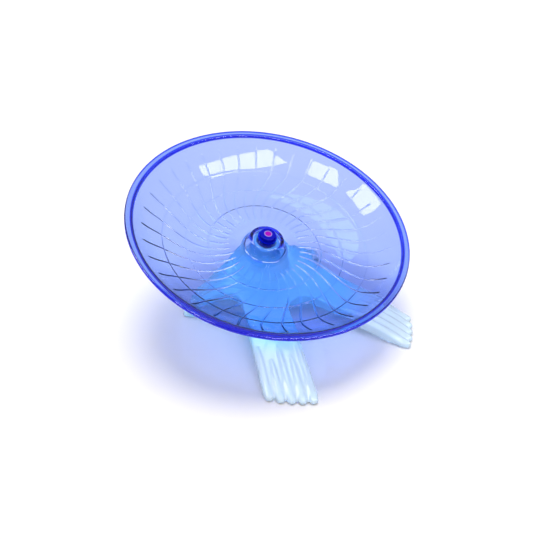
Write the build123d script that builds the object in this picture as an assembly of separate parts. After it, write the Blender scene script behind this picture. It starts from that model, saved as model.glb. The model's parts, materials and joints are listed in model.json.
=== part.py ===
from build123d import *
import math
import os

# Flying saucer exercise wheel for a hamster: a clear ribbed bowl that spins on a
# tilted steel pin, carried by a hollow four-legged stand. Millimetres, +Z up.
# The bowl's low side faces -Y. Heights "on the axle" are measured from the rim
# plane's centre, along the axle, and are negative below the rim.

# Saucer
SAUCER_D = 180.0
WALL = 1.8
BOWL_DEPTH = 24.7
FLAT_R = 40.0
LIP_W = 4.7
LIP_DROP = 1.4
LIP_T = 2.2
RIM_HEIGHT = 63.0
TILT = 17.5

# Hub moulded into the saucer
HUB_BASE_R = 14.0
PLATEAU_R = 11.0
PLATEAU_DROP = 17.5
DIP = 1.3
HUB_TOP_FILLET = 2.2
HUB_FOOT_FILLET = 3.0
BOSS_WALL = 1.6
BOSS_LENGTH = 10.5

# Grip pattern: S-curved ribs that cross three rings
RIB_COUNT = 36
RIB_SWEEP = 18.4
RIB_W = 0.9
RIB_H = 0.5
RIB_START_R = 23.7
RIB_MARGIN = 10.3
RIB_STEPS = 5
SWEEP_FROM = 0.30
SWEEP_TO = 0.80
RING_R = (37.4, 52.0, 67.0)
RING_W = 0.8
RING_H = 0.3

# Bearing
PIN_D = 4.0
PIN_PLAY = 0.05
SLEEVE_D = 8.0
SLEEVE_END = 36.2
SLEEVE_FLANGE_R = 6.2
SLEEVE_FLANGE_T = 1.2
WASHER_T = 0.7
WASHER_R = 4.2
END_PLAY = 0.1
SOCKET_DEPTH = 10.0
PIN_ABOVE = 1.1
PIN_CHAMFER = 0.4
NUT_R = 4.4
NUT_T = 0.5

# Cap over the pin
CAP_R = 5.3
CAP_H = 2.3
CAP_WALL = 0.55
CAP_TOP_T = 0.7
CAP_FILLET = 0.55
PLUG_R = 2.6
PLUG_RING_W = 0.5
PLUG_RIM_H = 0.35
PLUG_DISH_H = 0.15
PLUG_CROWN_H = 0.3
PLUG_STEM_R = 1.4

# Stand
STAND_WALL = 2.2
HOLLOW_IN = 1.5
HOLLOW_DOWN = 1.8
FLANGE_DEPTH = 7.0
FOOT_CENTRE_Y = -27.0
FOOT_R = 72.6
FOOT_ANGLE = 41.0
BODY_OVER = 3.0
LEG_W = 29.0
FRONT_SPLAY = 23.3
REAR_SPLAY = 52.0
FRONT_RUN = 84.0
REAR_RUN = 50.0
LEG_OVERRUN = 14.0
CORE_R = 30.0
CORE_Y = 4.0
ARCH_R = 9.0
TOWER_TOP_R = 8.6
TOWER_BASE_R = 19.5
TOWER_BASE_DROP = 41.0
TOWER_CLEAR = 1.7
BORE_CLEAR = 0.5
SOCKET_WALL = 3.0
TOWER_FLARE = 2.4

# Toes
TOE_COUNT = 5
TOE_R = 3.2
TOE_SPREAD = 0.8

# Worked out from the above
RIM_R = SAUCER_D / 2
LIP_IN_R = RIM_R - LIP_W
LIP_ROUND = LIP_T * 0.45
WALL_RISE = BOWL_DEPTH - LIP_DROP
WALL_R = ((LIP_IN_R - FLAT_R) ** 2 + WALL_RISE ** 2) / (2 * WALL_RISE)
ARC_Z = WALL_R - BOWL_DEPTH
RIB_END_R = RIM_R - RIB_MARGIN
SLEEVE_R = SLEEVE_D / 2
PIN_R = PIN_D / 2
BOSS_R = SLEEVE_R + BOSS_WALL
BOSS_END = -(PLATEAU_DROP + WALL + BOSS_LENGTH)
FLANGE_TOP = -PLATEAU_DROP + SLEEVE_FLANGE_T
SEAT = -(SLEEVE_END + END_PLAY + WASHER_T)
TOWER_TOP = -(PLATEAU_DROP + WALL + TOWER_CLEAR)

AXLE = Location((0, 0, RIM_HEIGHT), (TILT, 0, 0))


def revolved(points):
    """Solid of revolution about the axle from straight-sided (radius, height) corners."""
    face = Plane.XZ * make_face(Polyline(*points, close=True))
    return revolve(face, axis=Axis.Z)


def wall_arc(radius, low, high):
    """Arc of the bowl's wall, about the wall's own centre, from height low to height high."""
    def at(z):
        return (FLAT_R + math.sqrt(radius ** 2 - (ARC_Z - z) ** 2), z)

    return ThreePointArc(at(low), at((low + high) / 2), at(high))


def bowl_face():
    """Half section of the saucer: hub, floor, wall, out-turned lip and the three low rings."""
    floor = -BOWL_DEPTH
    under = floor - WALL
    bore = SLEEVE_R
    top = -PLATEAU_DROP
    inner = wall_arc(WALL_R, floor, -LIP_DROP)
    outer = wall_arc(WALL_R + WALL, under, -LIP_DROP - LIP_T)
    inside = Polyline(
        (bore, top), (PLATEAU_R, top), (HUB_BASE_R, floor - DIP), (RIB_START_R, floor), inner @ 0
    )
    lip = Polyline(inner @ 1, (RIM_R, 0), (RIM_R, -LIP_T), outer @ 1)
    outside = Polyline(
        outer @ 0, (RIB_START_R, under), (HUB_BASE_R - WALL * 0.6, under - DIP),
        (PLATEAU_R - WALL, top - WALL), (BOSS_R, top - WALL), (BOSS_R, BOSS_END),
        (bore, BOSS_END), (bore, top)
    )
    face = make_face([inside, inner, lip, outer, outside])

    def corner(r, z):
        return face.vertices().sort_by(lambda v: abs(v.X - r) + abs(v.Y - z))[0]

    face = fillet(corner(PLATEAU_R, top), HUB_TOP_FILLET)
    face = fillet(corner(HUB_BASE_R, floor - DIP), HUB_FOOT_FILLET)
    face = fillet([corner(RIM_R, 0), corner(RIM_R, -LIP_T)], LIP_ROUND)
    for radius in RING_R:
        slope = math.degrees(math.asin(max(radius - FLAT_R, 0) / WALL_R))
        face += Pos(radius, surface_height(radius)) * Rot(0, 0, slope) * Rectangle(RING_W, 2 * RING_H)
    return face


def rib_angle(radius):
    """How far a rib has swept round at a radius: radial at both ends, steepest between."""
    share = (radius / RIM_R - SWEEP_FROM) / (SWEEP_TO - SWEEP_FROM)
    share = min(max(share, 0.0), 1.0)
    return -RIB_SWEEP * share * share * (3 - 2 * share)


def rib_plan():
    """Plan of one rib: a strip of even width along its swept centre line."""
    centres = []
    for i in range(RIB_STEPS + 1):
        radius = RIB_START_R + (RIB_END_R - RIB_START_R) * i / RIB_STEPS
        angle = math.radians(rib_angle(radius))
        centres.append(Vector(radius * math.cos(angle), radius * math.sin(angle)))
    left, right = [], []
    for i, point in enumerate(centres):
        ahead = centres[min(i + 1, RIB_STEPS)] - centres[max(i - 1, 0)]
        side = Vector(-ahead.Y, ahead.X).normalized() * (RIB_W / 2)
        left.append(point + side)
        right.append(point - side)
    return make_face(Polyline(*left, *reversed(right), close=True))


def grip_layer():
    """Layer that lies on the running surface, where ribs and rings stand proud."""
    floor = -BOWL_DEPTH
    sink = WALL / 3
    rise = wall_arc(WALL_R - RIB_H, floor + RIB_H, -LIP_DROP)
    back = wall_arc(WALL_R + sink, floor - sink, -LIP_DROP)
    first = RIB_START_R - RIB_W
    near = Polyline(rise @ 0, (first, floor + RIB_H), (first, floor - sink), back @ 0)
    face = make_face([rise, Line(rise @ 1, back @ 1), back, near])
    return revolve(Plane.XZ * face, axis=Axis.Z)


def surface_height(radius):
    """Height of the running surface at a radius on the floor or the wall."""
    if radius <= FLAT_R:
        return -BOWL_DEPTH
    return ARC_Z - math.sqrt(WALL_R ** 2 - (radius - FLAT_R) ** 2)


def make_saucer():
    """Bowl, hub and lip in one moulding, with the ribs that sweep across its three rings."""
    saucer = revolve(Plane.XZ * bowl_face(), axis=Axis.Z)
    rib = grip_layer() & extrude(rib_plan(), amount=BOWL_DEPTH + WALL, dir=(0, 0, -1))
    ribs = [Rot(0, 0, 360 / RIB_COUNT * i) * rib.solid() for i in range(RIB_COUNT)]
    return saucer.fuse(*ribs)


def make_sleeve():
    """Flanged sleeve pressed into the boss: its flange is the collar under the cap."""
    tube_in = PIN_R + PIN_PLAY
    top = -PLATEAU_DROP
    return revolved([
        (tube_in, FLANGE_TOP), (SLEEVE_FLANGE_R, FLANGE_TOP), (SLEEVE_FLANGE_R, top),
        (SLEEVE_R, top), (SLEEVE_R, -SLEEVE_END), (tube_in, -SLEEVE_END)
    ])


def make_washer():
    hole = PIN_R + PIN_PLAY
    return revolved([
        (hole, SEAT), (WASHER_R, SEAT), (WASHER_R, SEAT + WASHER_T), (hole, SEAT + WASHER_T)
    ])


def make_pin():
    foot = SEAT - SOCKET_DEPTH
    top = FLANGE_TOP + PIN_ABOVE
    pin = Pos(0, 0, foot) * Cylinder(PIN_R, top - foot, align=(Align.CENTER, Align.CENTER, Align.MIN))
    return chamfer(pin.edges().filter_by(GeomType.CIRCLE), PIN_CHAMFER)


def make_nut():
    """Push nut that grips the pin just above the sleeve and keeps the saucer on."""
    low = FLANGE_TOP + END_PLAY
    return revolved([(PIN_R, low), (NUT_R, low), (NUT_R, low + NUT_T), (PIN_R, low + NUT_T)])


def make_cap():
    """Snap cap over the push nut and the pin's end, with a seat for the plug."""
    top = FLANGE_TOP + CAP_H
    cap = revolved([
        (PLUG_STEM_R, top), (CAP_R, top), (CAP_R, FLANGE_TOP), (CAP_R - CAP_WALL, FLANGE_TOP),
        (CAP_R - CAP_WALL, top - CAP_TOP_T), (PLUG_STEM_R, top - CAP_TOP_T)
    ])
    rim = cap.edges().filter_by(GeomType.CIRCLE).sort_by(Axis.Z)[-2:].sort_by(SortBy.LENGTH)[-1]
    return fillet(rim, CAP_FILLET)


def make_plug():
    """Coloured plug in the middle of the cap: a stem, a round head and a raised ring."""
    low = FLANGE_TOP + CAP_H
    return revolved([
        (0, low - CAP_TOP_T), (PLUG_STEM_R, low - CAP_TOP_T), (PLUG_STEM_R, low), (PLUG_R, low),
        (PLUG_R, low + PLUG_RIM_H), (PLUG_R - PLUG_RING_W, low + PLUG_RIM_H),
        (PLUG_R - PLUG_RING_W, low + PLUG_DISH_H), (0, low + PLUG_CROWN_H)
    ])


def foot_point(front):
    """Middle of the right-hand front or rear foot, on the floor."""
    angle = math.radians(FOOT_ANGLE)
    ahead = -math.cos(angle) if front else math.cos(angle)
    return Vector(FOOT_R * math.sin(angle), FOOT_CENTRE_Y + FOOT_R * ahead)


def leg_direction(front):
    splay = math.radians(FRONT_SPLAY if front else REAR_SPLAY)
    ahead = -math.cos(splay) if front else math.cos(splay)
    return Vector(math.sin(splay), ahead)


def body_sections():
    """Rings of the stand's body: centre y, centre z, radius and tilt, from the floor up."""
    base_r = FOOT_R + BODY_OVER
    slope = math.radians(TILT)
    top_y = TOWER_BASE_DROP * math.sin(slope)
    top_z = RIM_HEIGHT - TOWER_BASE_DROP * math.cos(slope)
    shares = ((0.0, 0.0, 0.0, 0.0), (0.08, 0.33, 0.21, 0.1), (0.27, 0.6, 0.44, 0.3),
              (0.56, 0.81, 0.7, 0.57), (0.85, 0.95, 0.9, 0.8), (1.0, 1.0, 1.0, 1.0))
    rings = []
    for move, rise, shrink, lean in shares:
        y = FOOT_CENTRE_Y + (top_y - FOOT_CENTRE_Y) * move
        radius = base_r + (TOWER_BASE_R - base_r) * shrink
        rings.append((y, top_z * rise, radius, TILT * lean))
    return rings


def body_form(inset, drop):
    """The stand's outer form, or the same form taken in and let down for its inside."""
    faces = []
    for y, z, radius, lean in body_sections():
        faces.append(Location((0, y, z - drop), (lean, 0, 0)) * Circle(radius - inset))
    return loft(faces)


def leg_plan(inset):
    """Plan of the legs and the core they spring from, with rounded arches between them."""
    plan = Pos(0, CORE_Y) * Circle(CORE_R - inset)
    for side in (1, -1):
        for front, run in ((True, FRONT_RUN), (False, REAR_RUN)):
            foot, along = foot_point(front), leg_direction(front)
            turn = math.degrees(math.atan2(along.Y, along.X * side))
            middle = foot + along * (LEG_OVERRUN - run) / 2
            bar = Rectangle(run + LEG_OVERRUN, LEG_W - 2 * inset)
            plan += Pos(middle.X * side, middle.Y) * Rot(0, 0, turn) * bar
    plan = offset(plan, ARCH_R + inset, kind=Kind.ARC)
    plan = offset(plan, -ARCH_R - inset, kind=Kind.ARC)
    return plan & Pos(0, FOOT_CENTRE_Y) * Circle(FOOT_R - TOE_R - inset)


def toe_centres():
    """Centres of the right-hand feet's toes in plan: all the tips lie on one circle."""
    centre = Vector(0, FOOT_CENTRE_Y)
    pitch = (LEG_W + TOE_SPREAD - 2 * TOE_R) / (TOE_COUNT - 1)
    ends = FOOT_R - TOE_R
    centres = []
    for front in (True, False):
        foot, along = foot_point(front), leg_direction(front)
        side = Vector(-along.Y, along.X)
        for i in range(TOE_COUNT):
            base = foot + side * (pitch * (i - (TOE_COUNT - 1) / 2)) - centre
            across = base.dot(along)
            gap = math.sqrt(ends ** 2 - base.dot(base) + across ** 2) - across
            centres.append(centre + base + along * gap)
    return centres


def stand_plan():
    """Plan of the stand's outside: the legs, with a row of round toes at the end of each."""
    plan = leg_plan(0)
    for centre in toe_centres():
        for side in (1, -1):
            plan += Pos(centre.X * side, centre.Y) * Circle(TOE_R)
    return plan


def tower_form(inset, low):
    """The stand's upper part, turned about the axle: a cone with a flared base."""
    top = TOWER_TOP - inset
    start = (TOWER_TOP_R - inset, top)
    end = (TOWER_BASE_R - inset, -TOWER_BASE_DROP)
    middle = ((TOWER_TOP_R + TOWER_BASE_R) / 2 - TOWER_FLARE - inset, (top - TOWER_BASE_DROP) / 2)
    sides = Polyline(end, (end[0], low), (0, low), (0, top), start)
    return revolve(Plane.XZ * make_face([ThreePointArc(start, middle, end), sides]), axis=Axis.Z)


def post(radius, low, high):
    return Pos(0, 0, low) * Cylinder(radius, high - low, align=(Align.CENTER, Align.CENTER, Align.MIN))


def make_stand():
    """Hollow four-legged stand with a turned tower, a socket for the pin and round toes."""
    tall = RIM_HEIGHT
    base = -TOWER_BASE_DROP
    outer = body_form(0, 0) & extrude(stand_plan(), amount=tall)
    outer += AXLE * tower_form(0, base - STAND_WALL / 2)
    hollow = body_form(HOLLOW_IN, HOLLOW_DOWN) & extrude(leg_plan(STAND_WALL), amount=tall)
    hollow += AXLE * tower_form(STAND_WALL, base - STAND_WALL * 2)
    shell = outer - hollow - body_form(0, FLANGE_DEPTH)
    foot = SEAT - SOCKET_DEPTH
    core = post(BOSS_R + BORE_CLEAR + SOCKET_WALL / 2, SEAT - SOCKET_WALL, TOWER_TOP - STAND_WALL / 2)
    core += post(PIN_R + SOCKET_WALL, foot - SOCKET_WALL / 2, SEAT)
    shell += AXLE * core
    bore = post(BOSS_R + BORE_CLEAR, BOSS_END - BORE_CLEAR, TOWER_TOP + BORE_CLEAR)
    bore += post(SLEEVE_R + BORE_CLEAR, SEAT, TOWER_TOP)
    bore += post(PIN_R, foot, SEAT)
    return shell - AXLE * bore


def footprint_middle():
    """Middle of the footprint along Y, from the foremost toe to the rim's far edge."""
    slope = math.radians(TILT)
    foremost = min(centre.Y for centre in toe_centres()) - TOE_R
    rim = (RIM_R - LIP_ROUND) * math.cos(slope) + (LIP_T - LIP_ROUND) * math.sin(slope) + LIP_ROUND
    return (foremost + rim) / 2


PIECES = {
    "saucer": (make_saucer, True),
    "bearing_sleeve": (make_sleeve, True),
    "thrust_washer": (make_washer, True),
    "axle_pin": (make_pin, True),
    "push_nut": (make_nut, True),
    "hub_cap": (make_cap, True),
    "cap_plug": (make_plug, True),
    "stand": (make_stand, False),
}

# The origin: on the floor, under the middle of the whole wheel
ORIGIN = Pos(0, -footprint_middle(), 0)

os.makedirs("parts", exist_ok=True)
for name, (make, on_axle) in PIECES.items():
    solid = make()
    if on_axle:
        solid = AXLE * solid
    export_step(ORIGIN * solid, os.path.join("parts", name + ".step"))
    print(name, len(solid.solids()), round(solid.volume, 1))
print("moved along Y by", round(-footprint_middle(), 4))
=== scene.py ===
import json
import math

import bpy
from bpy.props import FloatProperty, IntProperty, PointerProperty, StringProperty
from mathutils import Matrix, Vector
from mathutils.bvhtree import BVHTree


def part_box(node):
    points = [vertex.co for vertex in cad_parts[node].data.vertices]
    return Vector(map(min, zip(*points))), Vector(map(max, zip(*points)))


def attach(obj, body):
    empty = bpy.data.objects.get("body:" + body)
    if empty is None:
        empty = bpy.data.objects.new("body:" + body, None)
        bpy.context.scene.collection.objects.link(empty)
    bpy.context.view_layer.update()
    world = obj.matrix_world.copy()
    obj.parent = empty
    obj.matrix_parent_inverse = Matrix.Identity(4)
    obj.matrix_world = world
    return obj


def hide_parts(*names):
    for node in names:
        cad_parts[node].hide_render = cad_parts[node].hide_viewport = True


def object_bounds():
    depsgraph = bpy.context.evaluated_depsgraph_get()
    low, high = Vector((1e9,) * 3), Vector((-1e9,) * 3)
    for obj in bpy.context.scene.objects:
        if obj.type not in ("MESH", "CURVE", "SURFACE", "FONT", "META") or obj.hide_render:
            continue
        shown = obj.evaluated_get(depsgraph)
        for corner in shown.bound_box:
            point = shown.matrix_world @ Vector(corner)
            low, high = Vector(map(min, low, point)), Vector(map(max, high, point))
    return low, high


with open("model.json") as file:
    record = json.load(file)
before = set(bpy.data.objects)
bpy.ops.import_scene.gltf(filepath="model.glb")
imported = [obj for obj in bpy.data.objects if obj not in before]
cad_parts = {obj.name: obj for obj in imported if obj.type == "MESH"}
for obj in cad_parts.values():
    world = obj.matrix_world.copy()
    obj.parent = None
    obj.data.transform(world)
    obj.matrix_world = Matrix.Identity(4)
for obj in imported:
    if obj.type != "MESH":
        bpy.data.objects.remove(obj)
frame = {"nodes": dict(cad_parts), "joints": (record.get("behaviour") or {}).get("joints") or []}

bl_info = {
    "name": "Tilted running saucer",
    "version": (1, 0, 0),
    "blender": (4, 5, 0),
    "location": "View3D > Sidebar > Saucer",
    "description": "A clear running saucer for small pets, on its tilted pin and toed stand",
    "category": "Object",
}

CAD_BOX = [list(corner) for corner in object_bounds()]
MM = 0.001
HUB = frame["joints"][0]
HUB_AT = Vector(HUB["pos_m"])
TILT = math.atan2(-HUB["axis"][1], HUB["axis"][2])
AXLE = Matrix.Translation(HUB_AT) @ Matrix.Rotation(TILT, 4, "X")

# The photograph's camera, in millimetres and degrees
CAMERA_AT = (-189.1, -248.5, 243.1)
CAMERA_TOWARDS = (0.6, 0.8)
CAMERA_PITCH = 35.0
CAMERA_LENS = 38.3
CAMERA_SENSOR = 36.0
IMAGE_SIZE = 540

# Softboxes mirrored in the saucer's far wall: the pixel each one lights, and its size in metres
SOFTBOXES = (
    ((242, 163), (0.34, 0.86)),
    ((322, 171), (0.36, 0.34)),
    ((364, 198), (0.40, 0.34)),
)
SOFTBOX_AWAY = 1.0
SOFTBOX_RADIANCE = 9.0

# The lamp overhead and the one that lights only the stand: where from, in metres, and how wide an angle
KEY_FROM = (0.25, 0.35, 1.55)
KEY_SPREAD = math.radians(31)
FILL_FROM = (-0.5, -0.7, 1.2)
FILL_SPREAD = math.radians(50)
SKY_COLOUR = (1.0, 0.92, 0.84, 1.0)
FLOOR_GAP = 0.2

# Refraction of the clear and the coloured plastic
CLEAR_IOR = 1.5
ABS_IOR = 1.54

# The lip's painted light, in millimetres inwards from the rim: the band, its blue line and its bright blue
# outer edge, both painted deep blue in place of light piped along the wall, and how much light goes through
# under the line so that the painted blue shows
EDGE_BAND = 8.0
PIPED_LINE_COLOUR_AT = (4.4, 4.1, 3.4, 3.0)
PIPED_LINE_LESS_CLEAR_AT = (4.3, 4.0, 3.4, 3.1)
PIPED_EDGE_AT = (0.9, 0.5)
PIPED_LINE_CLEAR_SHARE = 0.55

# The saucer's hub, boss and lip in millimetres, as in the CAD
BORE_R = 4.0
HUB_TOP_R = 11.0
HUB_TOP_ROUND = 2.2
HUB_FOOT_R = 14.0
HUB_FOOT_ROUND = 3.0
HUB_FOOT_DROP = 1.3
HOLLOW_TOP_R = 9.2
HOLLOW_TOP_ROUND = 0.8
HOLLOW_FOOT_R = 12.9
HOLLOW_FOOT_ROUND = 1.0
HOLLOW_RIM_R = 23.7
BOSS_R = 5.6
BOSS_ROUND = 0.3
BOSS_DOWN = 10.5
LIP_ROUND = 0.95
LIP_UNDER_OUT = 1.2
LIP_UNDER_ROUND = 0.6
LIP_UNDER_AIM = -9.0

# Ribs and rings: where the sweep lies as shares of the rim's radius, and their slopes in millimetres
SWEEP_FROM = 0.3
SWEEP_OVER = 0.5
RIB_RAMP = 0.8
RIB_RAMP_OUT = 0.5
RINGS = (37.4, 52.0, 67.0)
RING_HALF = 0.45
RING_SLOPE = 0.2

# Rows and columns of the saucer's mesh, in millimetres; a rib's columns are (across, share of its height)
RIB_COLUMNS = ((-0.9, 0), (-0.7, 0), (-0.45, 0.4), (-0.2, 0.95), (0.2, 0.95), (0.45, 0.4), (0.7, 0), (0.9, 0))
GAP_COLUMNS = 3
RING_ROWS = (-0.75, -0.5, -0.4, -0.2, 0.2, 0.4, 0.5, 0.75)
RING_CLEAR = 0.9
END_STEP = 0.4
FLOOR_STEP = 2.0
FLOOR_ROWS = 7
WALL_ROWS = 32
OUTER_ROWS = 31
BORE_ROWS = 6
FLOOR_UNDER = (36, 32, 28)
BEFORE_LIP = 0.15
AFTER_LIP = 0.2
SHARP_FROM = math.radians(48)

# The toes, in millimetres and shares: how far back each ridge starts, how it swells and how it ends
TOE_BACK = (38.0, 24.0, 30.0, 20.0, 27.0)
TOE_SPREAD = 0.8
FLUTE_STEPS = 12
FLUTE_SIDES = 14
FLUTE_START_R = 0.7
FLUTE_SWELL = 0.75
HUMP_FROM = 0.12
HUMP_MOST = 0.62
TIP_RISE = 0.3
TIP_SHARE = 0.88
TIP_LEANS = (30, 55, 75, 88)

# The right-hand feet: bearing of the foot, bearing of its leg, and front (-1) or rear (1)
FEET = ((41.0, 23.3, -1), (41.0, 52.0, 1))

# Heights in millimetres: above the whole object, the middle of the stand's tint, and the plug's face
# above its middle; and the share of the plug's disc over which its two colours meet
ABOVE_ALL = 100.0
TINT_HEIGHT = 20.0
PLUG_FACE = 0.3
PLUG_BLUR = 0.03

# Scratches on the steel pin as drawn, in millimetres
SCRATCH_APART = 0.3

# Welding distance in metres, the angle up to which CAD edges look round, and the remesh's smoothing
WELD = 0.000002
ROUND_UNDER = math.radians(32)
SOFTEN = 0.5
SOFTEN_TIMES = 18


def linear(code):
    """Linear colour of an sRGB hex code."""
    channels = [int(code[i:i + 2], 16) / 255 for i in (1, 3, 5)]
    return tuple(c / 12.92 if c <= 0.04045 else ((c + 0.055) / 1.055) ** 2.4 for c in channels) + (1.0,)


def add_node(tree, kind, settings=None, values=None, links=None):
    """One node with its settings, its input values and the outputs that feed its inputs."""
    node = tree.nodes.new(kind)
    for name, value in (settings or {}).items():
        setattr(node, name, value)
    for key, value in (values or {}).items():
        node.inputs[key].default_value = value
    for key, output in (links or {}).items():
        tree.links.new(output, node.inputs[key])
    return node


def new_material(name):
    """An empty node material and its output node."""
    material = bpy.data.materials.new(name)
    material.use_nodes = True
    material.node_tree.nodes.clear()
    output = add_node(material.node_tree, "ShaderNodeOutputMaterial")
    return material, material.node_tree, output


def moulding_marks(tree, roughness, spread, ripple_mm, height_mm):
    """Roughness and bump of a moulded surface: faint waviness from the steel, and handling haze."""
    place = add_node(tree, "ShaderNodeTexCoord").outputs["Object"]
    haze = add_node(tree, "ShaderNodeTexNoise", values={"Scale": 1 / (ripple_mm * MM), "Detail": 3.0},
                    links={"Vector": place})
    rough = add_node(tree, "ShaderNodeMapRange", values={3: roughness, 4: roughness + spread},
                     links={0: haze.outputs[0]})
    wave = add_node(tree, "ShaderNodeTexNoise", values={"Scale": 0.25 / (ripple_mm * MM), "Detail": 1.0},
                    links={"Vector": place})
    bump = add_node(tree, "ShaderNodeBump", values={"Strength": 0.35, "Distance": height_mm * MM},
                    links={"Height": wave.outputs[0]})
    return rough.outputs[0], bump.outputs[0]


def band_ramp(tree, share, inwards, colours):
    """Colour across the lip's band, from stops given in millimetres inwards from the rim."""
    ramp = add_node(tree, "ShaderNodeValToRGB", links={0: share})
    stops = ramp.color_ramp.elements
    stops[0].position, stops[0].color = 0, colours[0]
    stops[1].position, stops[1].color = 1, colours[-1]
    for distance, colour in zip(inwards, colours):
        stops.new(1 - distance / EDGE_BAND).color = colour
    return ramp.outputs[0]


def clear_polystyrene(name, sizes):
    """Polished clear polystyrene: glassy faces, and deep-blue lines painted at the lip's edges in place of
    light piped along the wall, with less light let through there so that they show.
    """
    material, tree, output = new_material(name)
    rough, bump = moulding_marks(tree, roughness=0.01, spread=0.05, ripple_mm=9.0, height_mm=0.02)
    place = add_node(tree, "ShaderNodeTexCoord").outputs["Object"]
    from_hub = add_node(tree, "ShaderNodeVectorMath", {"operation": "SUBTRACT"}, {1: HUB_AT}, {0: place})
    across = add_node(tree, "ShaderNodeVectorMath", {"operation": "CROSS_PRODUCT"},
                      {1: AXLE.to_3x3() @ Vector((0, 0, 1))}, {0: from_hub.outputs[0]})
    radius = add_node(tree, "ShaderNodeVectorMath", {"operation": "LENGTH"}, links={0: across.outputs[0]})
    rim = sizes.diameter / 2
    share = add_node(tree, "ShaderNodeMapRange", values={1: (rim - EDGE_BAND) * MM, 2: rim * MM},
                     links={0: radius.outputs["Value"]}).outputs[0]
    # Painted light: the lip's deep-blue lines stand in for light piped along the wall; less light goes
    # through under them so that the painted blue shows.
    face, lip, edge = linear(sizes.tint), linear(sizes.lip_tint), linear(sizes.piped_light_tint)
    colour = band_ramp(tree, share, PIPED_LINE_COLOUR_AT + PIPED_EDGE_AT, (face, edge, edge, lip, lip, edge))
    clear = (1.0, 1.0, 1.0, 1.0)
    line_share_through = (PIPED_LINE_CLEAR_SHARE, PIPED_LINE_CLEAR_SHARE, PIPED_LINE_CLEAR_SHARE, 1.0)
    through = band_ramp(tree, share, PIPED_LINE_LESS_CLEAR_AT, (clear, line_share_through, line_share_through, clear))
    shader = add_node(tree, "ShaderNodeBsdfPrincipled", values={"IOR": CLEAR_IOR},
                      links={"Base Color": colour, "Transmission Weight": through,
                             "Roughness": rough, "Normal": bump})
    depth = add_node(tree, "ShaderNodeVolumeAbsorption",
                     values={"Color": linear(sizes.depth_tint), "Density": sizes.density})
    tree.links.new(shader.outputs[0], output.inputs["Surface"])
    tree.links.new(depth.outputs[0], output.inputs["Volume"])
    return material


def stand_polystyrene(sizes):
    """Moulded clear polystyrene whose tint gathers in the stand's middle and pales to the feet."""
    material, tree, output = new_material("Clear_blue_polystyrene_moulded_stand")
    rough, bump = moulding_marks(tree, roughness=0.03, spread=0.08, ripple_mm=7.0, height_mm=0.05)
    place = add_node(tree, "ShaderNodeTexCoord").outputs["Object"]
    away = add_node(tree, "ShaderNodeVectorMath", {"operation": "DISTANCE"},
                    {1: (HUB_AT.x, HUB_AT.y, TINT_HEIGHT * MM)}, {0: place})
    share = add_node(tree, "ShaderNodeMapRange", {"interpolation_type": "SMOOTHSTEP"},
                     {1: sizes.near_radius * MM, 2: sizes.far_radius * MM}, {0: away.outputs["Value"]})
    tint = add_node(tree, "ShaderNodeMix", {"data_type": "RGBA"},
                    {6: linear(sizes.near_tint), 7: linear(sizes.far_tint)}, {0: share.outputs[0]})
    shader = add_node(tree, "ShaderNodeBsdfPrincipled",
                      values={"Transmission Weight": sizes.clearness, "IOR": CLEAR_IOR},
                      links={"Base Color": tint.outputs[2], "Roughness": rough, "Normal": bump})
    depth = add_node(tree, "ShaderNodeVolumeAbsorption",
                     values={"Color": linear(sizes.depth_tint), "Density": sizes.density})
    tree.links.new(shader.outputs[0], output.inputs["Surface"])
    tree.links.new(depth.outputs[0], output.inputs["Volume"])
    return material


def glossy_abs(name, code):
    """Injection-moulded ABS: even colour with a hard gloss, slightly hazed by handling."""
    material, tree, output = new_material(name)
    rough, bump = moulding_marks(tree, roughness=0.12, spread=0.12, ripple_mm=1.5, height_mm=0.01)
    shader = add_node(tree, "ShaderNodeBsdfPrincipled",
                      values={"Base Color": linear(code), "IOR": ABS_IOR, "Specular IOR Level": 0.12},
                      links={"Roughness": rough, "Normal": bump})
    tree.links.new(shader.outputs[0], output.inputs["Surface"])
    return material


def plug_abs(disc, ring, disc_mm, centre):
    """Two-colour ABS plug: a bright disc inside a pale raised ring."""
    material, tree, output = new_material("Two_colour_ABS_moulded_plug")
    rough, bump = moulding_marks(tree, roughness=0.15, spread=0.1, ripple_mm=1.0, height_mm=0.01)
    place = add_node(tree, "ShaderNodeTexCoord").outputs["Object"]
    away = add_node(tree, "ShaderNodeVectorMath", {"operation": "DISTANCE"}, {1: centre}, {0: place})
    outside = add_node(tree, "ShaderNodeMapRange", links={0: away.outputs["Value"]},
                       values={1: disc_mm * MM * (1 - PLUG_BLUR), 2: disc_mm * MM * (1 + PLUG_BLUR)})
    colour = add_node(tree, "ShaderNodeMix", {"data_type": "RGBA"}, {6: linear(disc), 7: linear(ring)},
                      {0: outside.outputs[0]})
    shader = add_node(tree, "ShaderNodeBsdfPrincipled", values={"IOR": ABS_IOR, "Specular IOR Level": 0.15},
                      links={"Base Color": colour.outputs[2], "Roughness": rough, "Normal": bump})
    tree.links.new(shader.outputs[0], output.inputs["Surface"])
    return material


def ground_steel():
    """Centreless-ground steel: fine scratches round the pin, 0.05 mm apart, drawn 0.3 mm apart to show."""
    material, tree, output = new_material("Ground_steel")
    place = add_node(tree, "ShaderNodeTexCoord").outputs["Object"]
    lines = add_node(tree, "ShaderNodeTexNoise", values={"Scale": 1 / (SCRATCH_APART * MM), "Detail": 2.0},
                     links={"Vector": place})
    rough = add_node(tree, "ShaderNodeMapRange", values={3: 0.18, 4: 0.34}, links={0: lines.outputs[0]})
    shader = add_node(tree, "ShaderNodeBsdfPrincipled",
                      values={"Base Color": linear("#C4C7CC"), "Metallic": 1.0},
                      links={"Roughness": rough.outputs[0]})
    tree.links.new(shader.outputs[0], output.inputs["Surface"])
    return material


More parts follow.
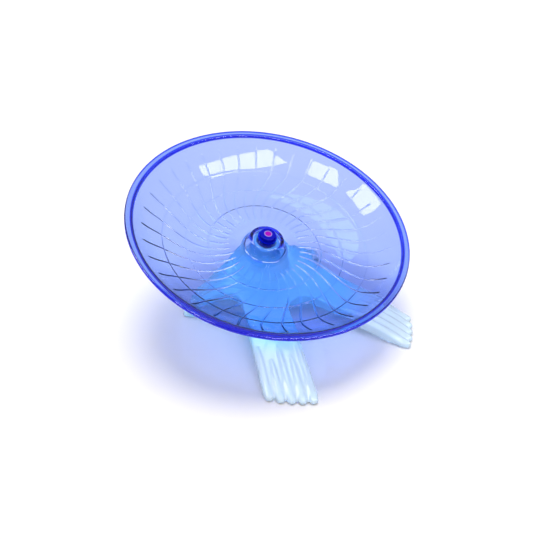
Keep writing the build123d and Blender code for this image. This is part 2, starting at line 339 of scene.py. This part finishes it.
def smooth_shading():
    """Modifier group that welds a CAD mesh's seams and shades all but its real edges smooth."""
    name = "Weld_and_smooth"
    if name in bpy.data.node_groups:
        return bpy.data.node_groups[name]
    group = bpy.data.node_groups.new(name, "GeometryNodeTree")
    for side in ("INPUT", "OUTPUT"):
        group.interface.new_socket("Geometry", in_out=side, socket_type="NodeSocketGeometry")
    start = add_node(group, "NodeGroupInput")
    weld = add_node(group, "GeometryNodeMergeByDistance", values={"Distance": WELD},
                    links={"Geometry": start.outputs[0]})
    faces = add_node(group, "GeometryNodeSetShadeSmooth", {"domain": "FACE"}, {2: True},
                     {0: weld.outputs[0]})
    angle = add_node(group, "GeometryNodeInputMeshEdgeAngle")
    gentle = add_node(group, "FunctionNodeCompare", {"data_type": "FLOAT", "operation": "LESS_THAN"},
                      {1: ROUND_UNDER}, {0: angle.outputs[0]})
    edges = add_node(group, "GeometryNodeSetShadeSmooth", {"domain": "EDGE"},
                     links={0: faces.outputs[0], 2: gentle.outputs[0]})
    add_node(group, "NodeGroupOutput", links={0: edges.outputs[0]})
    return group


def finish_node(name, material):
    """Gives a CAD node its material and smooth shading."""
    node = frame["nodes"][name]
    node.data.materials.clear()
    node.data.materials.append(material)
    node.modifiers.new("Smooth", "NODES").node_group = smooth_shading()


def new_piece(name, mesh, material, body, slot, *replaced):
    """Links a mesh as a named piece that rides on a body and stands for CAD nodes."""
    mesh.materials.clear()
    mesh.materials.append(material)
    piece = bpy.data.objects.new(name, mesh)
    bpy.context.scene.collection.objects.link(piece)
    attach(piece, body)
    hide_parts(*replaced)


def rounded(corners, steps=5):
    """Closed outline with each (x, y, radius) corner turned into an arc of that radius."""
    points = []
    count = len(corners)
    for i, (x, y, radius) in enumerate(corners):
        here = Vector((x, y))
        if radius == 0:
            points.append(here)
            continue
        back = (Vector(corners[i - 1][:2]) - here).normalized()
        ahead = (Vector(corners[(i + 1) % count][:2]) - here).normalized()
        half = back.angle(ahead) / 2
        centre = here + (back + ahead).normalized() * radius / math.sin(half)
        first = here + back * radius / math.tan(half) - centre
        last = here + ahead * radius / math.tan(half) - centre
        turn = first.angle_signed(last)
        for k in range(steps + 1):
            arc = Matrix.Rotation(-turn * k / steps, 2)
            points.append(centre + arc @ first)
    return points


class Section:
    """Half section of the saucer, in millimetres from the rim plane's centre along the axle."""

    def __init__(self, sizes):
        self.sizes = sizes
        self.rim = sizes.diameter / 2
        self.lip_in = self.rim - sizes.lip_width
        self.floor = -sizes.depth
        rise = sizes.depth - sizes.lip_drop
        self.wall_r = ((self.lip_in - sizes.flat_radius) ** 2 + rise ** 2) / (2 * rise)
        self.centre = (sizes.flat_radius, self.wall_r - sizes.depth)
        self.rib_end = self.rim - sizes.rib_margin

    def rib_turn(self, radius):
        """Angle that a rib has swept at a radius."""
        share = (radius / self.rim - SWEEP_FROM) / SWEEP_OVER
        share = min(max(share, 0), 1)
        return -math.radians(self.sizes.rib_sweep) * share * share * (3 - 2 * share)

    def inner_radii(self):
        """Radii of the mesh's rows on the running surface, closer together at rings and rib ends."""
        sizes = self.sizes
        start = sizes.rib_start
        radii = [start - 3 * END_STEP, start - END_STEP, start + END_STEP]
        radii += [start + FLOOR_STEP * i for i in range(1, FLOOR_ROWS + 1)]
        sweep = math.asin((self.lip_in - sizes.flat_radius) / self.wall_r)
        for i in range(WALL_ROWS + 1):
            radii.append(sizes.flat_radius + self.wall_r * math.sin(sweep * i / WALL_ROWS))
        radii += [self.rib_end - END_STEP, self.rib_end + END_STEP, self.lip_in - BEFORE_LIP]
        keep = [r for r in radii if all(abs(r - ring) > RING_CLEAR for ring in RINGS)]
        for ring in RINGS:
            keep += [ring + step for step in RING_ROWS]
        return sorted(keep)

    def surface(self, radius):
        """Point and normal of the running surface at a radius."""
        if radius <= self.sizes.flat_radius:
            return Vector((radius, self.floor)), Vector((0, 1))
        height = self.centre[1] - math.sqrt(self.wall_r ** 2 - (radius - self.centre[0]) ** 2)
        point = Vector((radius, height))
        return point, (Vector(self.centre) - point).normalized()

    def grip(self, radius, across):
        """Height that ribs and rings stand above the surface: across is 1 on a rib, 0 between."""
        sizes = self.sizes
        starts = min(max((radius - sizes.rib_start + RIB_RAMP_OUT) / RIB_RAMP, 0), 1)
        ends = min(max((self.rib_end + RIB_RAMP_OUT - radius) / RIB_RAMP, 0), 1)
        rib = across * starts * ends * sizes.rib_height
        ring = max(min(1, (RING_HALF - abs(radius - r)) / RING_SLOPE) for r in RINGS)
        return max(rib, ring * sizes.ring_height, 0)

    def rows(self):
        """Rows of the mesh round the whole section: (point, normal or None)."""
        sizes = self.sizes
        top = -sizes.plateau_drop
        under = self.floor - sizes.wall
        ceiling = top - sizes.wall
        boss_end = ceiling - BOSS_DOWN
        lip_foot = -sizes.lip_drop
        inside = [self.surface(radius) for radius in self.inner_radii()]
        first = inside[0][0]
        hub = rounded([
            (BORE_R, top, 0), (HUB_TOP_R, top, HUB_TOP_ROUND),
            (HUB_FOOT_R, self.floor - HUB_FOOT_DROP, HUB_FOOT_ROUND),
            (first.x, first.y, 0), (BORE_R, under, 0),
        ])[:-2]
        lip = rounded([
            (self.lip_in, lip_foot, 0), (self.rim, 0, LIP_ROUND), (self.rim, -sizes.lip_thickness, LIP_ROUND),
            (self.lip_in + LIP_UNDER_OUT, lip_foot - sizes.lip_thickness, LIP_UNDER_ROUND),
            (self.lip_in, LIP_UNDER_AIM, 0),
        ])[1:-1]
        lip.insert(0, Vector((self.lip_in + AFTER_LIP, lip_foot * (1 - AFTER_LIP / sizes.lip_width))))
        outer = []
        reach = self.lip_in - sizes.flat_radius
        for i in range(OUTER_ROWS - 1, -1, -1):
            point, normal = self.surface(sizes.flat_radius + reach * math.sin(math.pi / 2 * i / OUTER_ROWS))
            outer.append(point - normal * sizes.wall)
        floor_under = [Vector((radius, under)) for radius in FLOOR_UNDER]
        boss = rounded([
            (FLOOR_UNDER[-1], under, 0), (HOLLOW_RIM_R, under, 0),
            (HOLLOW_FOOT_R, under - HUB_FOOT_DROP, HOLLOW_FOOT_ROUND),
            (HOLLOW_TOP_R, ceiling, HOLLOW_TOP_ROUND), (BOSS_R, ceiling, BOSS_ROUND),
            (BOSS_R, boss_end, BOSS_ROUND), (BORE_R, boss_end, 0),
        ])[1:]
        rise = top - boss_end
        bore = [Vector((BORE_R, boss_end + rise * k / BORE_ROWS)) for k in range(1, BORE_ROWS)]
        rows = [(p, None) for p in hub] + inside
        rows += [(p, None) for p in lip + outer + floor_under + boss + bore]
        return rows


def saucer_mesh(sizes):
    """Saucer with its columns sheared along the ribs, so that every rib lies on its own columns."""
    section = Section(sizes)
    sector = math.tau / sizes.rib_count
    verts, faces = [], []
    rows = section.rows()
    for point, normal in rows:
        radius = point.x
        turn = section.rib_turn(radius)
        width = 1 / max(radius, sizes.rib_start)
        edge = RIB_COLUMNS[-1][0] * width
        for k in range(sizes.rib_count):
            columns = [(x * width, across) for x, across in RIB_COLUMNS]
            for g in range(1, GAP_COLUMNS + 1):
                columns.append((edge + (sector - 2 * edge) * g / (GAP_COLUMNS + 1), 0))
            for offset, across in columns:
                angle = k * sector + offset + turn
                place = point + normal * section.grip(radius, across) if normal else point
                flat = Vector((place.x * math.cos(angle), place.x * math.sin(angle), place.y)) * MM
                verts.append(AXLE @ flat)
    per_row = sizes.rib_count * (len(RIB_COLUMNS) + GAP_COLUMNS)
    for i in range(len(rows)):
        low = i * per_row
        high = (i + 1) % len(rows) * per_row
        for j in range(per_row):
            after = (j + 1) % per_row
            faces.append((low + j, high + j, high + after, low + after))
    mesh = bpy.data.meshes.new("saucer_bowl")
    mesh.from_pydata(verts, [], faces)
    mesh.validate()
    mesh.shade_smooth()
    mesh.set_sharp_from_angle(angle=SHARP_FROM)
    return mesh


def toe_lines(sizes):
    """Plan line of every toe flute: its tip centre, its direction and how far back it starts."""
    lines = []
    middle = Vector((0, sizes.feet_middle))
    ends = sizes.foot_radius - sizes.toe_radius
    count = len(TOE_BACK)
    pitch = (sizes.leg_width - 2 * sizes.toe_radius + TOE_SPREAD) / (count - 1)
    for where, splay, way in FEET:
        foot = Vector((math.sin(math.radians(where)), way * math.cos(math.radians(where))))
        foot = middle + foot * sizes.foot_radius
        along = Vector((math.sin(math.radians(splay)), way * math.cos(math.radians(splay))))
        side = Vector((-along.y, along.x))
        for i, back in enumerate(TOE_BACK):
            base = foot + side * pitch * (i - (count - 1) / 2) - middle
            across = base.dot(along)
            gap = math.sqrt(ends ** 2 - base.length_squared + across ** 2) - across
            tip = middle + base + along * gap
            for mirror in (1, -1):
                lines.append((Vector((tip.x * mirror, tip.y)), Vector((along.x * mirror, along.y)), back))
    return lines


def flute(tip, along, back, sizes, surface, verts, faces):
    """Adds one toe: a rib that rises out of the leg, swells and ends round on the floor."""
    rings = []
    ahead = Vector((along.x, along.y, 0))
    side = Vector((-along.y, along.x, 0))
    for i in range(FLUTE_STEPS + 1):
        share = i / FLUTE_STEPS
        place = (tip - along * back * (1 - share)) * MM
        radius = (FLUTE_START_R + (sizes.toe_radius - FLUTE_START_R) * share ** FLUTE_SWELL) * MM
        above = Vector((place.x, place.y, ABOVE_ALL * MM))
        top = surface.ray_cast(above, Vector((0, 0, -1)))[0].z
        proud = sizes.toe_proud * MM * math.sin(math.pi * min(share + HUMP_FROM, HUMP_MOST))
        rings.append((Vector((place.x, place.y, top - radius + proud)), radius))
    last = Vector((place.x, place.y, radius * TIP_RISE)) + ahead * sizes.toe_reach * MM
    end = radius * TIP_SHARE
    rings.append((last, end))
    for lean in TIP_LEANS:
        turn = math.radians(lean)
        rings.append((last + ahead * end * math.sin(turn), end * math.cos(turn)))
    first = len(verts)
    for centre, size in rings:
        for k in range(FLUTE_SIDES):
            angle = math.tau * k / FLUTE_SIDES
            point = centre + side * size * math.cos(angle) + Vector((0, 0, size * math.sin(angle)))
            point.z = max(point.z, 0)
            verts.append(point)
    for i in range(len(rings) - 1):
        for k in range(FLUTE_SIDES):
            a = first + i * FLUTE_SIDES
            b = a + FLUTE_SIDES
            after = (k + 1) % FLUTE_SIDES
            faces.append((a + k, a + after, b + after, b + k))
    faces.append([first + k for k in reversed(range(FLUTE_SIDES))])
    faces.append([first + (len(rings) - 1) * FLUTE_SIDES + k for k in range(FLUTE_SIDES)])


def stand_mesh(sizes):
    """The stand with its toe flutes melted into the legs, by a fine voxel remesh and a light smooth."""
    cad = frame["nodes"]["stand"].data
    verts = [v.co.copy() for v in cad.vertices]
    faces = [tuple(p.vertices) for p in cad.polygons]
    surface = BVHTree.FromPolygons(verts, faces)
    for tip, along, back in toe_lines(sizes):
        flute(tip, along, back, sizes, surface, verts, faces)
    rough = bpy.data.meshes.new("stand_rough")
    rough.from_pydata(verts, [], faces)
    work = bpy.data.objects.new("stand_rough", rough)
    bpy.context.scene.collection.objects.link(work)
    weld = work.modifiers.new("Weld", "WELD")
    weld.merge_threshold = WELD
    remesh = work.modifiers.new("Melt", "REMESH")
    remesh.mode = "VOXEL"
    remesh.voxel_size = sizes.voxel * MM
    soften = work.modifiers.new("Soften", "SMOOTH")
    soften.factor = SOFTEN
    soften.iterations = SOFTEN_TIMES
    depsgraph = bpy.context.evaluated_depsgraph_get()
    mesh = bpy.data.meshes.new_from_object(work.evaluated_get(depsgraph))
    bpy.data.objects.remove(work)
    bpy.data.meshes.remove(rough)
    mesh.name = "stand_moulding"
    for vertex in mesh.vertices:
        vertex.co.z = max(vertex.co.z, 0)
    mesh.shade_smooth()
    return mesh


def size_mm(name, about, default):
    """A length property in millimetres."""
    return FloatProperty(name=name, description=about, default=default, min=0.0)


def colour_code(name, about, default):
    """An sRGB hex colour property."""
    return StringProperty(name=name, description=about, default=default)


class SaucerSizes(bpy.types.PropertyGroup):
    diameter: size_mm("Diameter (mm)", "Across the rim", (CAD_BOX[1][0] - CAD_BOX[0][0]) / MM)
    depth: size_mm("Depth (mm)", "From the rim plane down to the floor", 24.7)
    flat_radius: size_mm("Flat radius (mm)", "Radius of the flat floor", 40.0)
    wall: size_mm("Wall (mm)", "Thickness of the bowl", 1.8)
    lip_width: size_mm("Lip width (mm)", "Width of the out-turned lip", 4.7)
    lip_drop: size_mm("Lip drop (mm)", "How far the lip falls towards the bowl", 1.4)
    lip_thickness: size_mm("Lip thickness (mm)", "Thickness of the lip", 2.2)
    plateau_drop: size_mm("Hub drop (mm)", "From the rim plane down to the hub's top", 17.5)
    rib_count: IntProperty(name="Ribs", description="Number of grip ribs", default=36, min=3)
    rib_sweep: FloatProperty(name="Rib sweep (degrees)", description="Turn of a rib", default=18.4)
    rib_start: size_mm("Rib start (mm)", "Radius where the ribs begin", 23.7)
    rib_margin: size_mm("Rib margin (mm)", "From the ribs' ends to the rim", 10.3)
    rib_height: size_mm("Rib height (mm)", "How far the ribs stand proud", 0.4)
    ring_height: size_mm("Ring height (mm)", "How far the rings stand proud", 0.3)
    tint: colour_code("Tint", "Colour of the faces", "#FFFFFF")
    lip_tint: colour_code("Lip tint", "Colour of the lip between its edges", "#E4EEFF")
    # Painted light: the deep blue of the lip's edge lines stands in for light piped along the wall.
    piped_light_tint: colour_code("Edge tint", "Colour of the lip's two edges", "#1438FF")
    depth_tint: colour_code("Depth colour", "Colour that gathers inside the wall", "#1A98FA")
    density: FloatProperty(name="Depth of colour", description="Absorption per metre", default=480.0)


class StandSizes(bpy.types.PropertyGroup):
    foot_radius: size_mm("Foot radius (mm)", "Radius of the circle through the toes' tips", 72.6)
    feet_middle: FloatProperty(name="Feet middle (mm)", description="Y of the middle of the feet's circle",
                               default=-25.56)
    leg_width: size_mm("Leg width (mm)", "Width of a leg", 29.0)
    toe_radius: size_mm("Toe radius (mm)", "Radius of a toe's round end", 3.2)
    toe_proud: size_mm("Toe height (mm)", "How far a toe stands above the leg", 1.1)
    toe_reach: size_mm("Toe reach (mm)", "How far the round toes reach past the CAD feet", 3.0)
    voxel: size_mm("Voxel (mm)", "Cell of the remesh that melts the toes in", 0.45)
    clearness: FloatProperty(name="Clearness", description="Share of light let through", default=0.55)
    near_radius: size_mm("Middle tint radius (mm)", "Where the middle's tint begins to fade", 46.0)
    far_radius: size_mm("Foot tint radius (mm)", "Where the feet's tint is full", 72.0)
    near_tint: colour_code("Middle tint", "Colour at the tower", "#8CE8FF")
    far_tint: colour_code("Foot tint", "Colour at the feet", "#D9E9F1")
    depth_tint: colour_code("Edge colour", "Colour that gathers along thick edges", "#7FC4FF")
    density: FloatProperty(name="Depth of colour", description="Absorption per metre", default=45.0)


class HubColours(bpy.types.PropertyGroup):
    cap: colour_code("Cap", "Colour of the hub cap", "#0410C0")
    sleeve: colour_code("Sleeve", "Colour of the flanged sleeve", "#0418E0")
    disc: colour_code("Plug disc", "Colour of the plug's middle", "#A808C0")
    ring: colour_code("Plug ring", "Colour of the plug's rim", "#A890F0")
    disc_radius: size_mm("Disc radius (mm)", "Radius of the coloured disc", 2.1)


class StageSettings(bpy.types.PropertyGroup):
    floor_width: FloatProperty(name="Floor width", description="Side of the floor", default=12.0,
                               unit="LENGTH")
    floor: colour_code("Floor", "Colour of the floor", "#FCFCFE")
    sky: FloatProperty(name="Sky light", description="Strength of the even light", default=0.56)
    key: FloatProperty(name="Key light", description="Strength of the soft lamp overhead", default=2.0)
    fill: FloatProperty(name="Fill light", description="Strength of the lamp that lights only the stand",
                        default=3.0)


class SAUCER_OT_bowl(bpy.types.Operator):
    """Build the running saucer over its CAD node."""

    bl_idname = "saucer.bowl"
    bl_label = "Saucer"

    def execute(self, context):
        sizes = context.scene.saucer_sizes
        material = clear_polystyrene("Clear_blue_polystyrene_polished_saucer", sizes)
        new_piece("saucer_bowl", saucer_mesh(sizes), material, "saucer", "saucer_plastic", "saucer")
        return {"FINISHED"}


class SAUCER_OT_stand(bpy.types.Operator):
    """Build the toed stand over its CAD node."""

    bl_idname = "saucer.stand"
    bl_label = "Stand"

    def execute(self, context):
        sizes = context.scene.stand_sizes
        material = stand_polystyrene(sizes)
        new_piece("stand_moulding", stand_mesh(sizes), material, "stand", "stand_plastic", "stand")
        return {"FINISHED"}


class SAUCER_OT_hub(bpy.types.Operator):
    """Finish the cap, its plug and the flanged sleeve."""

    bl_idname = "saucer.hub"
    bl_label = "Hub"

    def execute(self, context):
        colours = context.scene.hub_colours
        finish_node("hub_cap", glossy_abs("Dark_blue_ABS_moulded_cap", colours.cap))
        finish_node("bearing_sleeve", glossy_abs("Blue_ABS_moulded_sleeve", colours.sleeve))
        low, high = (Vector(corner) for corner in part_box("cap_plug"))
        axis = AXLE.to_3x3() @ Vector((0, 0, 1))
        centre = (low + high) / 2 + axis * PLUG_FACE * MM
        finish_node("cap_plug", plug_abs(colours.disc, colours.ring, colours.disc_radius, centre))
        return {"FINISHED"}


class SAUCER_OT_bearing(bpy.types.Operator):
    """Finish the steel pin, push nut and washer."""

    bl_idname = "saucer.bearing"
    bl_label = "Pin and washers"

    def execute(self, context):
        steel = ground_steel()
        for name in ("axle_pin", "push_nut", "thrust_washer"):
            finish_node(name, steel)
        return {"FINISHED"}


def camera_frame():
    """The camera's place and turn, from the photograph's viewing angle."""
    pitch = math.radians(CAMERA_PITCH)
    level = math.cos(pitch)
    ahead = Vector((CAMERA_TOWARDS[0] * level, CAMERA_TOWARDS[1] * level, -math.sin(pitch)))
    return Vector(CAMERA_AT) * MM, ahead.to_track_quat("-Z", "Y")


def pixel_ray(pixel):
    """Direction of the camera's ray through a pixel of the photograph."""
    half = IMAGE_SIZE / 2
    scale = CAMERA_SENSOR / CAMERA_LENS / IMAGE_SIZE
    ray = Vector(((pixel[0] - half) * scale, (half - pixel[1]) * scale, -1))
    return (camera_frame()[1] @ ray).normalized()


def add_softbox(pixel, size, bowl):
    """A lamp placed where the saucer's wall mirrors it to the camera at a pixel."""
    eye = camera_frame()[0]
    ray = pixel_ray(pixel)
    spot, normal = bowl.ray_cast(eye, ray)[:2]
    if normal.dot(ray) > 0:
        normal = -normal
    away = ray.reflect(normal)
    data = bpy.data.lights.new("Softbox", "AREA")
    data.shape = "RECTANGLE"
    data.size, data.size_y = size[1], size[0]
    data.energy = SOFTBOX_RADIANCE * math.pi * size[0] * size[1]
    lamp = bpy.data.objects.new("Softbox", data)
    lamp.location = spot + away * SOFTBOX_AWAY
    lamp.rotation_euler = (-away).to_track_quat("-Z", "Y").to_euler()
    lamp.visible_diffuse = False
    lamp.visible_transmission = False
    lamp.visible_camera = False
    bpy.context.scene.collection.objects.link(lamp)


def add_sun(name, place, spread, strength):
    """A broad soft lamp that shines from a place towards the object and isn't mirrored in it."""
    data = bpy.data.lights.new(name, "SUN")
    data.energy = strength
    data.angle = spread
    lamp = bpy.data.objects.new(name, data)
    lamp.location = place
    lamp.rotation_euler = (-Vector(place)).to_track_quat("-Z", "Y").to_euler()
    lamp.visible_glossy = False
    bpy.context.scene.collection.objects.link(lamp)
    return lamp


def add_sky(strength):
    """Even white light, and white behind the object."""
    world = bpy.data.worlds.new("White_room")
    world.use_nodes = True
    tree = world.node_tree
    tree.nodes.clear()
    path = add_node(tree, "ShaderNodeLightPath")
    seen = add_node(tree, "ShaderNodeMath", {"operation": "MAXIMUM"},
                    links={0: path.outputs["Is Camera Ray"], 1: path.outputs["Is Transmission Ray"]})
    level = add_node(tree, "ShaderNodeMapRange", values={3: strength, 4: 1.0}, links={0: seen.outputs[0]})
    colour = add_node(tree, "ShaderNodeMix", {"data_type": "RGBA"}, {6: SKY_COLOUR, 7: (1, 1, 1, 1)},
                      {0: seen.outputs[0]})
    light = add_node(tree, "ShaderNodeBackground",
                     links={"Color": colour.outputs[2], "Strength": level.outputs[0]})
    add_node(tree, "ShaderNodeOutputWorld", links={0: light.outputs[0]})
    bpy.context.scene.world = world


def add_floor(width, code):
    """Plain pale floor with a matt painted finish."""
    half = width / 2
    mesh = bpy.data.meshes.new("floor")
    corners = [(-half, -half, 0), (half, -half, 0), (half, half, 0), (-half, half, 0)]
    mesh.from_pydata(corners, [], [(0, 1, 2, 3)])
    material, tree, output = new_material("Matt_white_paint")
    shader = add_node(tree, "ShaderNodeBsdfDiffuse", values={"Color": linear(code)})
    tree.links.new(shader.outputs[0], output.inputs["Surface"])
    mesh.materials.append(material)
    floor = bpy.data.objects.new("floor", mesh)
    floor.location.z = -FLOOR_GAP * MM
    bpy.context.scene.collection.objects.link(floor)


class SAUCER_OT_stage(bpy.types.Operator):
    """Add the floor, the light and the camera."""

    bl_idname = "saucer.stage"
    bl_label = "Stage"

    def execute(self, context):
        scene = context.scene
        stage = scene.stage_settings
        add_floor(stage.floor_width, stage.floor)
        add_sky(stage.sky)
        mesh = bpy.data.objects["saucer_bowl"].data
        bowl = BVHTree.FromPolygons([v.co for v in mesh.vertices], [p.vertices for p in mesh.polygons])
        for pixel, size in SOFTBOXES:
            add_softbox(pixel, size, bowl)
        add_sun("Key", KEY_FROM, KEY_SPREAD, stage.key)
        fill = add_sun("Fill", FILL_FROM, FILL_SPREAD, stage.fill)
        lit = bpy.data.collections.new("Lit_by_fill")
        lit.objects.link(bpy.data.objects["stand_moulding"])
        fill.light_linking.receiver_collection = lit
        fill.light_linking.blocker_collection = lit
        lens = bpy.data.cameras.new("Camera")
        lens.lens = CAMERA_LENS
        lens.sensor_width = CAMERA_SENSOR
        camera = bpy.data.objects.new("Camera", lens)
        place, turn = camera_frame()
        camera.location = place
        camera.rotation_euler = turn.to_euler()
        scene.collection.objects.link(camera)
        scene.camera = camera
        scene.view_settings.view_transform = "Standard"
        return {"FINISHED"}


OPERATORS = (SAUCER_OT_bowl, SAUCER_OT_stand, SAUCER_OT_hub, SAUCER_OT_bearing, SAUCER_OT_stage)


class SAUCER_PT_panel(bpy.types.Panel):
    """Lists the builders of the saucer's pieces."""

    bl_idname = "SAUCER_PT_panel"
    bl_label = "Tilted running saucer"
    bl_space_type = "VIEW_3D"
    bl_region_type = "UI"
    bl_category = "Saucer"

    def draw(self, context):
        for operator in OPERATORS:
            self.layout.operator(operator.bl_idname)


GROUPS = {
    "saucer_sizes": SaucerSizes,
    "stand_sizes": StandSizes,
    "hub_colours": HubColours,
    "stage_settings": StageSettings,
}
CLASSES = (*GROUPS.values(), *OPERATORS, SAUCER_PT_panel)


def register():
    for item in CLASSES:
        bpy.utils.register_class(item)
    for name, group in GROUPS.items():
        setattr(bpy.types.Scene, name, PointerProperty(type=group))


def unregister():
    for name in GROUPS:
        delattr(bpy.types.Scene, name)
    for item in reversed(CLASSES):
        bpy.utils.unregister_class(item)


def main():
    register()
    bpy.ops.saucer.bowl()
    bpy.ops.saucer.stand()
    bpy.ops.saucer.hub()
    bpy.ops.saucer.bearing()
    bpy.ops.saucer.stage()


if __name__ == "__main__":
    main()
